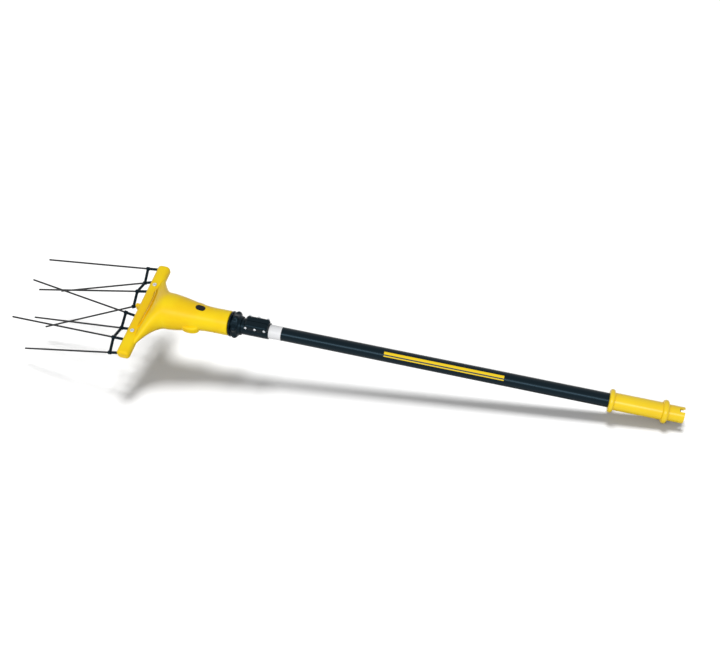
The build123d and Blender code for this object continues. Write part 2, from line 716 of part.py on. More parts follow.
def roller(x, y):
    body = rod_x(x - ROLLER_LENGTH / 2, x + ROLLER_LENGTH / 2, ROLLER_RADIUS, y, COMB_Z)
    return body - rod_x(x - ROLLER_LENGTH, x + ROLLER_LENGTH, CRANK_PIN_RADIUS, y, COMB_Z)


def ring_bearing(x, width, outer, inner, z):
    body = rod_x(x, x + width, outer, 0, z)
    return body - rod_x(x, x + width, inner + RUNNING_GAP, 0, z)


def gear_outline(teeth, first_angle):
    """Involute tooth outline in the YZ plane, with a tooth centred on first_angle."""
    pitch = GEAR_MODULE * teeth / 2
    base = pitch * math.cos(math.radians(PRESSURE_ANGLE))
    tip, root = pitch + GEAR_ADDENDUM * GEAR_MODULE, pitch - GEAR_DEDENDUM * GEAR_MODULE
    start = max(base, root)
    spread = math.tan(math.radians(PRESSURE_ANGLE)) - math.radians(PRESSURE_ANGLE)
    half_tooth = (math.pi * GEAR_MODULE / 2 - GEAR_BACKLASH) / 2 / pitch + spread
    flank = []
    for i in range(FLANK_STEPS + 1):
        radius = start + (tip - start) * i / FLANK_STEPS
        roll = math.sqrt(max((radius / base) ** 2 - 1, 0.0))
        flank.append((radius, half_tooth - (roll - math.atan(roll))))
    points = []
    for tooth in range(teeth):
        centre = first_angle + 2 * math.pi * tooth / teeth
        lower = [(root, -flank[0][1])] + [(radius, -angle) for radius, angle in flank]
        upper = [(radius, angle) for radius, angle in reversed(flank)] + [(root, flank[0][1])]
        for radius, angle in lower + upper:
            points.append((radius * math.cos(centre + angle), radius * math.sin(centre + angle)))
    return points


def gear(teeth, z, bore, first_angle):
    points = [(GEAR_X, y, z + h) for y, h in gear_outline(teeth, first_angle)]
    face = make_face(Polyline(*points, close=True))
    body = extrude(face, amount=GEAR_WIDTH, dir=(1, 0, 0))
    return body - rod_x(GEAR_X, GEAR_X + GEAR_WIDTH, bore, 0, z)


def spacer_places():
    """(y, z) of each spacer, clear inside the lips that hold the plates."""
    reach = plate_radius() - PLATE_LIP - SPACER_RADIUS - SPACER_GAP
    turns = [math.radians(angle) for angle in SPACER_ANGLES]
    return [(reach * math.cos(turn), reach * math.sin(turn)) for turn in turns]


def plate(x, bearing_radius, shaft_hole):
    """Round plate between the housing's seat rings, bored for a crank bearing and the motor shaft."""
    body = rod_x(x, x + PLATE_THICKNESS, plate_radius())
    body -= rod_x(x, x + PLATE_THICKNESS, bearing_radius, 0, COMB_Z)
    if shaft_hole:
        body -= rod_x(x, x + PLATE_THICKNESS, shaft_hole)
        for side in (1, -1):
            body -= rod_x(x, x + PLATE_THICKNESS, SCREW_RADIUS + SCREW_GAP, side * MOTOR_SCREW_PITCH)
    return body


def plate_spacers():
    x0, x1 = CRANK_PLATE_X + PLATE_THICKNESS, MOTOR_PLATE_X
    return group([rod_x(x0, x1, SPACER_RADIUS, y, z) for y, z in spacer_places()])


def motor_can():
    body = rod_x(MOTOR_X, MOTOR_CAP_X, MOTOR_RADIUS)
    body -= rod_x(MOTOR_X + MOTOR_FRONT, MOTOR_CAP_X, MOTOR_RADIUS - MOTOR_WALL)
    body -= rod_x(MOTOR_X, MOTOR_X + MOTOR_FRONT, MOTOR_BEARING_RADIUS)
    for side in (1, -1):
        body -= rod_x(MOTOR_X, MOTOR_X + MOTOR_FRONT, SCREW_RADIUS, side * MOTOR_SCREW_PITCH)
    return body


def motor_screws():
    seat = MOTOR_PLATE_X
    screws = []
    for side in (1, -1):
        y = side * MOTOR_SCREW_PITCH
        shank = rod_x(seat, MOTOR_X + MOTOR_FRONT, SCREW_RADIUS, y)
        screws.append(shank.fuse(rod_x(seat - SCREW_HEAD_HEIGHT, seat, SCREW_HEAD_RADIUS, y)))
    return group(screws)


def brush_block(side, grow):
    """A brush, or with grow the pocket that holds it."""
    inner = COMMUTATOR_RADIUS + BRUSH_GAP
    middle = COMMUTATOR_X + COMMUTATOR_LENGTH / 2
    half = BRUSH_WIDTH / 2 + grow
    return block(middle - half, middle + half, side * inner, side * (inner + BRUSH_LENGTH), -half, half)


def brushes():
    return group([brush_block(side, 0.0) for side in (1, -1)])


def motor_end_cap():
    """Rear cap with the bearing pocket and two brush guides."""
    body = rod_x(MOTOR_CAP_X, MOTOR_END, MOTOR_RADIUS)
    bearing_end = MOTOR_CAP_X + MOTOR_BEARING_WIDTH
    body -= rod_x(MOTOR_CAP_X, bearing_end, MOTOR_BEARING_RADIUS)
    inner = COMMUTATOR_RADIUS + 2 * BRUSH_GAP
    middle = COMMUTATOR_X + COMMUTATOR_LENGTH / 2
    half = BRUSH_WIDTH / 2 + BRUSH_GUIDE_WALL
    for side in (1, -1):
        guide = block(
            middle - half, MOTOR_CAP_X, side * (inner + BRUSH_GAP), side * (inner + BRUSH_LENGTH),
            -half, half,
        )
        body = body.fuse(guide) - brush_block(side, BRUSH_GAP)
    return body


def magnets():
    outer = MOTOR_RADIUS - MOTOR_WALL
    inner = outer - MAGNET_THICKNESS
    x0 = MOTOR_X + (MOTOR_LENGTH - MAGNET_LENGTH) / 2
    shell = tube_x(x0, x0 + MAGNET_LENGTH, outer, inner)
    gap = outer * math.cos(math.radians(MAGNET_SPAN / 2))
    halves = [block(x0, x0 + MAGNET_LENGTH, -FAR, FAR, side * gap, side * FAR) for side in (1, -1)]
    return group([shell & half for half in halves])


def armature():
    radius = MOTOR_RADIUS - MOTOR_WALL - MAGNET_THICKNESS - AIR_GAP
    body = tube_x(ARMATURE_X, ARMATURE_X + ARMATURE_LENGTH, radius, MOTOR_SHAFT_RADIUS)
    half = ARMATURE_SLOT_WIDTH / 2
    for i in range(ARMATURE_SLOTS):
        slot = block(ARMATURE_X, ARMATURE_X + ARMATURE_LENGTH, -half, half, radius - ARMATURE_SLOT_DEPTH, FAR)
        body -= Rot(X=360 / ARMATURE_SLOTS * i) * slot
    return body


def head_spigot():
    """Turned tube that the neck closes on, with a plug inside the pole's front end."""
    step = COLLAR_X - RING_FACE_GAP / 2
    flange = SPIGOT_X + SPIGOT_SEAT_LENGTH + 2 * PLATE_GAP
    body = joined([
        rod_x(SPIGOT_X, step, SPIGOT_RADIUS),
        rod_x(flange, flange + SPIGOT_FLANGE_THICKNESS, SPIGOT_FLANGE),
        rod_x(step, step + SPIGOT_PLUG_LENGTH, PLUG_RADIUS),
    ])
    body -= rod_x(SPIGOT_X, step - WALL, SPIGOT_BORE)
    return body - rod_x(SPIGOT_X, step + SPIGOT_PLUG_LENGTH, SPIGOT_PLUG_BORE)


def coupling_ring():
    """Locking ring with a front ridge, grip lobes and a waist, turning on the spigot and the clamp's collar."""
    taper = RING_END - RING_TAPER_LENGTH
    cone = Cone(RING_RADIUS, RING_WAIST_RADIUS, RING_TAPER_LENGTH, align=FROM_START)
    body = rod_x(RING_X, taper, RING_RADIUS).fuse(Plane(origin=(taper, 0, 0), z_dir=(1, 0, 0)) * cone)
    lobe_centre = RING_LOBE_REACH - RING_LOBE_RADIUS
    lobes = []
    for i in range(RING_LOBES):
        angle = 2 * math.pi * (i + 0.5) / RING_LOBES
        y, z = lobe_centre * math.cos(angle), lobe_centre * math.sin(angle)
        lobe = rod_x(RING_X + RING_LOBE_START, taper, RING_LOBE_RADIUS, y, z)
        lobes.append(fillet(lobe.edges().filter_by(GeomType.CIRCLE), RING_ROUND))
    ridge_x = RING_X + RING_RIDGE_START
    ridge = rod_x(ridge_x, ridge_x + RING_RIDGE_WIDTH, RING_RIDGE_RADIUS)
    ridge = fillet(ridge.edges().filter_by(GeomType.CIRCLE), RING_RIDGE_ROUND)
    body = body.fuse(ridge, *lobes)
    body -= rod_x(RING_X, COLLAR_X, SPIGOT_RADIUS + RUNNING_GAP)
    return body - rod_x(COLLAR_X, RING_END, COLLAR_RADIUS + RUNNING_GAP)


def clamp_screw_places():
    last = CLAMP_END - CLAMP_SCREW_INSET
    return [last - CLAMP_SCREW_PITCH * i for i in range(CLAMP_SCREW_COUNT)]


def pole_clamp():
    """Split clamp on the pole's front end, with its ears on top and a collar inside the ring."""
    outer = POLE_RADIUS + CLAMP_WALL
    ears = block(
        CLAMP_X + CLAMP_BLOCK_START, CLAMP_END, -CLAMP_BLOCK_HALF_WIDTH, CLAMP_BLOCK_HALF_WIDTH,
        0, CLAMP_BLOCK_TOP,
    )
    corners = ears.edges().filter_by(Axis.Z)
    top_edges = ears.edges().group_by(Axis.Z)[-1]
    body = joined([
        rod_x(COLLAR_X + RING_FACE_GAP / 2, CLAMP_X, COLLAR_RADIUS),
        rod_x(CLAMP_X, CLAMP_END, outer),
        fillet(corners + top_edges, CLAMP_BLOCK_ROUND),
    ])
    body -= rod_x(COLLAR_X, POLE_X, PLUG_RADIUS + POLE_FIT)
    body -= rod_x(POLE_X, CLAMP_END, POLE_RADIUS + POLE_FIT)
    half = CLAMP_SLIT / 2
    body -= block(CLAMP_X + CLAMP_BLOCK_START / 2, CLAMP_END, -half, half, 0, CLAMP_BLOCK_TOP)
    for x in clamp_screw_places():
        body -= rod_y(-FAR, FAR, SCREW_RADIUS + SCREW_GAP, x, CLAMP_SCREW_HEIGHT)
    return body


def clamp_screws():
    near, far = -CLAMP_BLOCK_HALF_WIDTH, CLAMP_BLOCK_HALF_WIDTH + CLAMP_NUT_HEIGHT
    screws = []
    for x in clamp_screw_places():
        shank = rod_y(near, far, SCREW_RADIUS, x, CLAMP_SCREW_HEIGHT)
        head = rod_y(near - SCREW_HEAD_HEIGHT, near, SCREW_HEAD_RADIUS, x, CLAMP_SCREW_HEIGHT)
        screws.append(shank.fuse(head))
    return group(screws)


def clamp_nuts():
    nuts = []
    for x in clamp_screw_places():
        place = Plane(origin=(x, CLAMP_BLOCK_HALF_WIDTH, CLAMP_SCREW_HEIGHT), z_dir=(0, 1, 0))
        nut = extrude(place * RegularPolygon(CLAMP_NUT_RADIUS, CLAMP_NUT_SIDES), CLAMP_NUT_HEIGHT)
        nuts.append(nut - rod_y(0, FAR, SCREW_RADIUS, x, CLAMP_SCREW_HEIGHT))
    return group(nuts)


def grip_sleeve():
    """Handle sleeve with a bead at each end."""
    front, rear = GRIP_X + FRONT_BEAD, POLE_END - REAR_BEAD
    grip = rod_x(GRIP_X, POLE_END, GRIP_RADIUS)
    beads = []
    for x0, x1 in ((GRIP_X, front), (rear, POLE_END)):
        bead = rod_x(x0, x1, BEAD_RADIUS)
        beads.append(fillet(bead.edges().filter_by(GeomType.CIRCLE), BEAD_ROUND_SHARE * (x1 - x0)))
    return grip.fuse(*beads) - rod_x(GRIP_X, POLE_END, POLE_RADIUS + POLE_FIT)


def handle_end_cap():
    """Castellated cup behind the handle, plugged into the pole."""
    plug_x = POLE_END - CAP_PLUG_LENGTH
    body = rod_x(plug_x, POLE_END, PLUG_RADIUS).fuse(rod_x(POLE_END, CAP_END, CAP_RADIUS))
    body -= rod_x(SOCKET_X, CAP_END, CAP_RADIUS - CAP_WALL)
    body -= rod_x(plug_x, SOCKET_X, SPIGOT_PLUG_BORE)
    for i in range(CAP_NOTCH_COUNT):
        notch = block(
            CAP_END - CAP_NOTCH_LENGTH, CAP_END, -CAP_NOTCH_WIDTH / 2, CAP_NOTCH_WIDTH / 2, 0, 2 * CAP_RADIUS
        )
        body -= Rot(X=360 / CAP_NOTCH_COUNT * i) * notch
    return body


def contact_places():
    return [side * CONTACT_SPACING / 2 for side in (1, -1)]


def inlet_socket():
    """Insulating socket in the end cap: a well for the contacts behind a wider mouth."""
    body = rod_x(SOCKET_X, INLET_X, CAP_RADIUS - CAP_WALL - POLE_FIT)
    body -= rod_x(WELL_X, MOUTH_X, WELL_RADIUS)
    body -= rod_x(MOUTH_X, INLET_X, INLET_RADIUS)
    for y in contact_places():
        body -= rod_x(SOCKET_X, WELL_X, CONTACT_RADIUS, y)
    return body


def contact_pins():
    return group([rod_x(SOCKET_X - CONTACT_TAIL, MOUTH_X, CONTACT_RADIUS, y) for y in contact_places()])


def build_nodes():
    body = housing()
    nodes = {
        "upper_housing": half_housing(body, Keep.TOP),
        "lower_housing": half_housing(body, Keep.BOTTOM),
        "housing_screws": housing_screws(),
        "arm_screws": arm_screws(),
        "blank_badge": badge(),
        "crankshaft": crankshaft(),
        "front_roller": roller(FRONT_YOKE_X, FRONT_THROW),
        "rear_roller": roller(REAR_YOKE_X, -REAR_THROW),
        "crank_bearing_front": ring_bearing(
            CRANK_PLATE_X, PLATE_THICKNESS, CRANK_BEARING_RADIUS, JOURNAL_RADIUS, COMB_Z),
        "crank_bearing_rear": ring_bearing(
            MOTOR_PLATE_X, MOTOR_BEARING_WIDTH, REAR_BEARING_RADIUS, JOURNAL_RADIUS, COMB_Z),
        "drive_gear": gear(GEAR_TEETH, COMB_Z, JOURNAL_RADIUS, math.pi / 2 + math.pi / GEAR_TEETH),
        "crank_plate": plate(CRANK_PLATE_X, CRANK_BEARING_RADIUS, 0.0),
        "motor_plate": plate(MOTOR_PLATE_X, REAR_BEARING_RADIUS, MOTOR_SHAFT_RADIUS + BOSS_WALL),
        "plate_spacers": plate_spacers(),
        "motor_can": motor_can(),
        "motor_end_cap": motor_end_cap(),
        "motor_magnets": magnets(),
        "motor_armature": armature(),
        "motor_shaft": rod_x(GEAR_X, MOTOR_CAP_X + MOTOR_BEARING_WIDTH, MOTOR_SHAFT_RADIUS),
        "motor_commutator": tube_x(
            COMMUTATOR_X, COMMUTATOR_X + COMMUTATOR_LENGTH - END_PLAY, COMMUTATOR_RADIUS, MOTOR_SHAFT_RADIUS),
        "motor_brushes": brushes(),
        "motor_bearing_front": ring_bearing(
            MOTOR_X, MOTOR_BEARING_WIDTH, MOTOR_BEARING_RADIUS, MOTOR_SHAFT_RADIUS, 0),
        "motor_bearing_rear": ring_bearing(
            MOTOR_CAP_X, MOTOR_BEARING_WIDTH, MOTOR_BEARING_RADIUS, MOTOR_SHAFT_RADIUS, 0),
        "motor_pinion": gear(PINION_TEETH, 0.0, MOTOR_SHAFT_RADIUS, -math.pi / 2),
        "motor_screws": motor_screws(),
        "head_spigot": head_spigot(),
        "coupling_ring": coupling_ring(),
        "pole_clamp": pole_clamp(),
        "clamp_screws": clamp_screws(),
        "clamp_nuts": clamp_nuts(),
        "pole_tube": tube_x(POLE_X, POLE_END, POLE_RADIUS, POLE_BORE),
        "label_band": tube_x(
            CLAMP_END + LABEL_GAP, CLAMP_END + LABEL_GAP + LABEL_LENGTH,
            POLE_RADIUS + LABEL_THICKNESS, POLE_RADIUS),
        "power_lead": rod_x(MOTOR_END, SOCKET_X, LEAD_RADIUS, 0, LEAD_Z),
        "grip_sleeve": grip_sleeve(),
        "handle_end_cap": handle_end_cap(),
        "inlet_socket": inlet_socket(),
        "contact_pins": contact_pins(),
    }
    yokes = ((1, "a", FRONT_YOKE_X, FRONT_THROW), (-1, "b", REAR_YOKE_X, REAR_THROW))
    for side, name, yoke_x, throw in yokes:
        nodes[f"comb_shaft_{name}"] = comb_shaft(side)
        nodes[f"comb_bar_{name}"] = comb_bar(side)
        nodes[f"yoke_{name}"] = yoke(side, yoke_x, throw)
        nodes[f"yoke_screws_{name}"] = yoke_screws(side)
        nodes[f"tine_brace_{name}"] = tine_brace(side)
        nodes[f"inner_bush_{name}"] = bush(side, CENTRE_BLOCK - INNER_BUSH_LENGTH, INNER_BUSH_LENGTH)
        nodes[f"outer_bush_{name}"] = bush(side, COMB_BAR_OUTER + END_PLAY, OUTER_BUSH_LENGTH)
        for k in range(TINE_COUNT):
            number = TINE_COUNT - k if side > 0 else TINE_COUNT + 1 + k
            nodes[f"tine_{number}"] = tine(side, k)
    return nodes


def main():
    os.makedirs("parts", exist_ok=True)
    for name, solid in build_nodes().items():
        export_step(Pos(-INLET_X, 0, 0) * solid, f"parts/{name}.step")


main()
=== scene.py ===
import json
import math

import bmesh
import bpy
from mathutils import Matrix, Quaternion, Vector


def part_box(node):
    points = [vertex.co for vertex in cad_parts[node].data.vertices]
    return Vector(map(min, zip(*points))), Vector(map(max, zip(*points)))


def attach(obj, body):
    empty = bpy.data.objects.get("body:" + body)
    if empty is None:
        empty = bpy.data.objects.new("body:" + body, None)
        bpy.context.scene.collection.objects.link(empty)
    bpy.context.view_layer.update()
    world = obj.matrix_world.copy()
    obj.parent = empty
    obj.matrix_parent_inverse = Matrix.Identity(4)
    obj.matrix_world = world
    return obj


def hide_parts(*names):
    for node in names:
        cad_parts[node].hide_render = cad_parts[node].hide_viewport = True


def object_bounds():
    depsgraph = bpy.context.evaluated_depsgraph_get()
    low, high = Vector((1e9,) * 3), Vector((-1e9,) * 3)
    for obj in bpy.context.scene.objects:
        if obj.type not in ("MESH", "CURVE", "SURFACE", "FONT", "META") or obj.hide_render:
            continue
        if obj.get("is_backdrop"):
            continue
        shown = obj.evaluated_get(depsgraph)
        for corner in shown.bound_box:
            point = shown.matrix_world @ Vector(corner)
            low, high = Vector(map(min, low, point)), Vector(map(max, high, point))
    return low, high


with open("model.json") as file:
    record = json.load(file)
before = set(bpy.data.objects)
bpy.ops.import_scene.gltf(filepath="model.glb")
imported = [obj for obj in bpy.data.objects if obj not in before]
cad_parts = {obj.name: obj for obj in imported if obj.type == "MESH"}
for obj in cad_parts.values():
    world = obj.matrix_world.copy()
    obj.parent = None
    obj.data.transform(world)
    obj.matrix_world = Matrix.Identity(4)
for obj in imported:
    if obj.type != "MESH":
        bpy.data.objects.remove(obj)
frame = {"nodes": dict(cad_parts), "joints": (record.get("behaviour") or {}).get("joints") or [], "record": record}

CAD_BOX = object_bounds()
NODES = frame["nodes"]
JOINTS = {joint["name"]: joint for joint in frame["joints"]}


def rgb(red, green, blue):
    """A colour in linear light."""
    return (red, green, blue, 1.0)


# Camera at the photograph's viewing angle: angles in degrees, lengths in metres, the lens in millimetres
CAMERA_AZIMUTH = 14.60
CAMERA_ELEVATION = 54.01
CAMERA_ROLL = -0.42
CAMERA_TARGET = Vector((-0.763, 0.0, 0.0))
CAMERA_DISTANCE = 2.42922
CAMERA_LENS = 49.27
CAMERA_SHIFT = (-0.00633, 0.02868)

# Light and floor: angles in degrees, lengths in metres, the strip's power in watts
SUN_AZIMUTH = 195.0
SUN_ELEVATION = 52.0
SUN_WIDTH = 22.0
SUN_STRENGTH = 6.8
STRIP_AZIMUTH = 0.0
STRIP_ELEVATION = 48.0
STRIP_LENGTH = 3.2
STRIP_WIDTH = 0.60
STRIP_POWER = 50.0
LAMP_DISTANCE = 2.6
SKY_STRENGTH = 0.52
FLOOR_HALF_SIZE = 9.0
FLOOR_GAP = 0.0006
FLOOR_SEEN = rgb(0.43, 0.43, 0.43)
FLOOR_BOUNCE = rgb(0.17, 0.17, 0.17)
WHITE = rgb(1.0, 1.0, 1.0)

# Coupling ring, turned about the pole's axis, in metres: its front as (distance from the front, radius)
# and its rear as (distance from the rear, radius)
RING_BORE = 0.0222
RING_FRONT = ((0.0000, 0.0285), (0.0022, 0.0327), (0.0052, 0.0329), (0.0068, 0.0280))
RING_REAR = ((0.0085, 0.0276), (0.0040, 0.0246), (0.0000, 0.0238))
RING_ROUNDING = 0.0009
RING_SIDES = 144
RING_STEP = 0.0012

# Grip lobes of the ring, in metres: the lower the fade power, the longer a lobe keeps its height along the
# ring, and the higher the crest power, the narrower it is around the ring
LOBE_COUNT = 6
LOBE_RISE = 0.0068
LOBE_MARGIN = 0.0070
LOBE_FADE_POWER = 0.6
LOBE_CREST_POWER = 1.6

# Screws, in metres: the shank is a share of the head, and the turned profile stays just off its axis
HEAD_ROUNDING = 0.0011
HEAD_SIDES = 40
ARM_HEAD_HEIGHT = 0.0028
SMALL_HEAD_HEIGHT = 0.0026
SHANK_SHARE = 0.5
AXIS_GAP = 0.0002
RECESSES = {
    "cross": {"Recess Depth": 0.0014, "Recess Length": 0.0046, "Recess Width": 0.0010},
    "hex": {"Recess Depth": 0.0014, "Recess Radius": 0.0018},
}
HEX_SIDES = 6
UP = Vector((0.0, 0.0, 1.0))
DOWN = Vector((0.0, 0.0, -1.0))
NEAR_SIDE = Vector((0.0, -1.0, 0.0))

# Meshes: points on each rounded corner, the gap in metres that is welded shut, and the decimals of a metre
# to which points count as one and heights as level
CORNER_POINTS = 4
WELD_GAP = 1e-6
POINT_DIGITS = 6
LEVEL_DIGITS = 4

# Stripes along the pole: metres from its front end, and (centre, half width) in degrees around it, from the
# top towards the near side. They are rougher than the paint, and as thick as a share of its orange peel
STRIPE_START = 0.365
STRIPE_END = 0.661
STRIPES = ((21.0, 11.0), (47.0, 4.5))
STRIPE_DULLING = 0.10
STRIPE_THICKNESS = 0.6
STRIPE_YELLOW = rgb(0.86, 0.60, 0.010)

# Parting line of the housing, in metres, with its depth against the plastic's grain, and the painted shade along
# it
SEAM_HALF_WIDTH = 0.00022
SEAM_SOFTNESS = 0.00012
SEAM_DEPTH = 1.2
SEAM_PAINTED_SHADE = rgb(0.42, 0.24, 0.004)

# Colours of the finishes: each pair is what the surface varies between, the first tone at share 0
HOUSING_TONES = rgb(0.88, 0.570, 0.006), rgb(0.92, 0.660, 0.008)
HANDLE_TONES = rgb(0.88, 0.600, 0.005), rgb(0.90, 0.640, 0.006)
NYLON_TONES = rgb(0.0010, 0.0040, 0.0060), rgb(0.0040, 0.0085, 0.0115)
CARBON_TONES = rgb(0.0032, 0.0038, 0.0044), rgb(0.016, 0.017, 0.018)
PAINT_TONES = rgb(0.0004, 0.0024, 0.0038), rgb(0.0020, 0.0050, 0.0072)
FILM_TONES = rgb(0.72, 0.73, 0.75), rgb(0.80, 0.805, 0.815)
PLATE_TONES = rgb(0.006, 0.006, 0.007), rgb(0.016, 0.016, 0.017)
ZINC_TONES = rgb(0.50, 0.53, 0.56), rgb(0.72, 0.74, 0.76)
STEEL_TONES = rgb(0.42, 0.43, 0.45), rgb(0.60, 0.61, 0.63)
BRONZE_TONES = rgb(0.45, 0.27, 0.10), rgb(0.62, 0.42, 0.18)
ALLOY_TONES = rgb(0.56, 0.57, 0.58), rgb(0.72, 0.73, 0.74)
MOTOR_TONES = rgb(0.030, 0.030, 0.033), rgb(0.055, 0.055, 0.060)
SOCKET_TONES = rgb(0.010, 0.010, 0.011), rgb(0.022, 0.022, 0.023)
FERRITE_TONES = rgb(0.035, 0.035, 0.038), rgb(0.070, 0.070, 0.074)
BRUSH_TONES = rgb(0.020, 0.020, 0.020), rgb(0.045, 0.045, 0.045)
RUBBER_TONES = rgb(0.008, 0.008, 0.008), rgb(0.020, 0.020, 0.020)
BLUE_SHEEN = rgb(0.46, 0.76, 1.0)

# Share of the paler tone where the nylon is rubbed, and the most that the noise adds to the roughness of
# metals and of dull surfaces
NYLON_RUBBED_SHARE = 0.7
METAL_HAZE = 0.16
DULL_HAZE = 0.12

# Density of noise along each axis: alike on all three, or closer or drawn out along the pole
EVEN = (1.0, 1.0, 1.0)
TURNING_MARKS = (6.0, 1.0, 1.0)
RUBBING = (0.35, 1.0, 1.0)
DRAWING_MARKS = (0.06, 1.0, 1.0)
BRUSHING = (0.03, 1.0, 1.0)
FIBRES = (0.012, 1.0, 1.0)

# Inputs and output of a Mix node for colours, by number because their names repeat
MIX_SHARE, MIX_FIRST, MIX_SECOND = 0, 6, 7
MIX_COLOUR = 2


class Wire:
    """An output of a node. Sums, products and comparisons on it add Math nodes to its graph."""

    def __init__(self, graph, socket):
        self.graph = graph
        self.socket = socket

    def output(self, name):
        """Another output of the same node."""
        return Wire(self.graph, self.socket.node.outputs[name])

    def work(self, operation, *terms):
        """A Math node on numbers and other outputs."""
        return self.graph.node("ShaderNodeMath", {"operation": operation}, dict(enumerate(terms)))

    def __add__(self, other):
        return self.work("ADD", self, other)

    def __radd__(self, other):
        return self.work("ADD", other, self)

    def __sub__(self, other):
        return self.work("SUBTRACT", self, other)

    def __rsub__(self, other):
        return self.work("SUBTRACT", other, self)

    def __mul__(self, other):
        return self.work("MULTIPLY", self, other)

    def __rmul__(self, other):
        return self.work("MULTIPLY", other, self)

    def __truediv__(self, other):
        return self.work("DIVIDE", self, other)

    def __rtruediv__(self, other):
        return self.work("DIVIDE", other, self)

    def __pow__(self, other):
        return self.work("POWER", self, other)

    def __mod__(self, other):
        return self.work("MODULO", self, other)

    def __abs__(self):
        return self.work("ABSOLUTE", self)

    def __round__(self):
        return self.work("ROUND", self)

    def __lt__(self, other):
        return self.work("LESS_THAN", self, other)

    def __gt__(self, other):
        return self.work("GREATER_THAN", self, other)

    def sine(self):
        return self.work("SINE", self)

    def cosine(self):
        return self.work("COSINE", self)


def between(share, start, end):
    """One number at share 0, the other at 1."""
    return start + (end - start) * share


class Graph:
    """A node tree being written."""

    def __init__(self, tree):
        self.tree = tree

    def node(self, kind, settings=None, sockets=None, output=0):
        """Adds a node: first its settings, then the values or links of its sockets. Gives one output."""
        made = self.tree.nodes.new(kind)
        for name, value in (settings or {}).items():
            setattr(made, name, value)
        for key, value in (sockets or {}).items():
            self.plug(made.inputs[key], value)
        return Wire(self, made.outputs[output]) if made.outputs else None

    def plug(self, socket, value):
        """Links an output to a socket, or sets the socket to a value."""
        if isinstance(value, Wire):
            self.tree.links.new(value.socket, socket)
        else:
            socket.default_value = value

    def split(self, vector):
        """The three numbers of a vector."""
        x = self.node("ShaderNodeSeparateXYZ", {}, {"Vector": vector})
        return x, x.output("Y"), x.output("Z")

    def join(self, x, y, z):
        """A vector of three numbers."""
        return self.node("ShaderNodeCombineXYZ", {}, {"X": x, "Y": y, "Z": z})


class Finish(Graph):
    """A material: one Principled shader, its constant values, and what changes over the surface."""

    def __init__(self, name, constants):
        self.material = bpy.data.materials.new(name)
        self.material.use_nodes = True
        super().__init__(self.material.node_tree)
        self.shader = self.tree.nodes["Principled BSDF"]
        self.at = self.node("ShaderNodeTexCoord", output="Object")
        self.set(constants)

    def set(self, sockets):
        for name, value in sockets.items():
            self.plug(self.shader.inputs[name], value)

    def noise(self, scale, detail=2.0, density=EVEN):
        """Soft noise from 0 to 1, with so many features to the metre, times the density along each axis."""
        place = self.node("ShaderNodeMapping", {}, {"Vector": self.at, "Scale": density})
        return self.node("ShaderNodeTexNoise", {}, {"Vector": place, "Scale": scale, "Detail": detail})

    def step(self, value, low, high):
        """An eased step from 0 below the low value to 1 above the high one."""
        sockets = {"Value": value, "From Min": low, "From Max": high}
        return self.node("ShaderNodeMapRange", {"interpolation_type": "SMOOTHSTEP"}, sockets)

    def blend(self, share, first, second):
        """One colour at share 0, the other at 1."""
        sockets = {MIX_SHARE: share, MIX_FIRST: first, MIX_SECOND: second}
        return self.node("ShaderNodeMix", {"data_type": "RGBA"}, sockets, MIX_COLOUR)

    def bump(self, height, strength, distance):
        sockets = {"Height": height, "Strength": strength, "Distance": distance}
        self.set({"Normal": self.node("ShaderNodeBump", {}, sockets)})


# Finishes


def parting_line(finish):
    """1 on the line where the two shells meet: from the combs' hinge to the pole's axis at the rear."""
    along, _, up = finish.split(finish.at)
    hinge_x, _, hinge_z = JOINTS["comb_a_swing"]["pos_m"]
    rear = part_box("upper_housing")[1].x
    slope = -hinge_z / (rear - hinge_x)
    height = abs(up - hinge_z - slope * (along - hinge_x))
    return 1.0 - finish.step(height, low=SEAM_HALF_WIDTH, high=SEAM_HALF_WIDTH + SEAM_SOFTNESS)


def housing_plastic():
    """Moulded yellow plastic: deep and light patches, a fine grain, and painted shade on the shells' parting line.
    """
    finish = Finish("housing_plastic", {"Specular IOR Level": 0.16})
    patches = finish.step(finish.noise(scale=16.0, detail=3.0), low=0.34, high=0.68)
    seam = parting_line(finish)
    # The parting line takes a darker colour: painted shade in the seam between the shells
    finish.set({"Base Color": finish.blend(seam, finish.blend(patches, *HOUSING_TONES), SEAM_PAINTED_SHADE)})
    haze = finish.noise(scale=60.0, detail=4.0)
    finish.set({"Roughness": between(haze, start=0.30, end=0.44)})
    grain = finish.noise(scale=1400.0, detail=1.0)
    finish.bump(grain - SEAM_DEPTH * seam, strength=0.10, distance=0.00025)
    return finish.material


def handle_plastic():
    """Glossier yellow plastic of the handle, with faint drawing marks along it and hand wear."""
    finish = Finish("handle_plastic", {"Specular IOR Level": 0.42})
    patches = finish.step(finish.noise(scale=22.0, detail=3.0), low=0.3, high=0.7)
    finish.set({"Base Color": finish.blend(patches, *HANDLE_TONES)})
    wear = finish.noise(scale=45.0, detail=4.0)
    finish.set({"Roughness": between(wear, start=0.25, end=0.33)})
    marks = finish.noise(scale=240.0, density=DRAWING_MARKS)
    finish.bump(marks, strength=0.02, distance=0.0003)
    return finish.material


def black_nylon(name, grain):
    """Glass-filled black nylon: satin, with a pebbled grain and paler, smoother rubbed patches."""
    finish = Finish(name, {"Specular IOR Level": 0.18, "Specular Tint": BLUE_SHEEN})
    rubbed = finish.step(finish.noise(scale=70.0, detail=5.0), low=0.52, high=0.74)
    finish.set({"Base Color": finish.blend(NYLON_RUBBED_SHARE * rubbed, *NYLON_TONES)})
    finish.set({"Roughness": between(rubbed, start=0.34, end=0.26)})
    finish.bump(finish.noise(scale=grain), strength=0.16, distance=0.0003)
    return finish.material


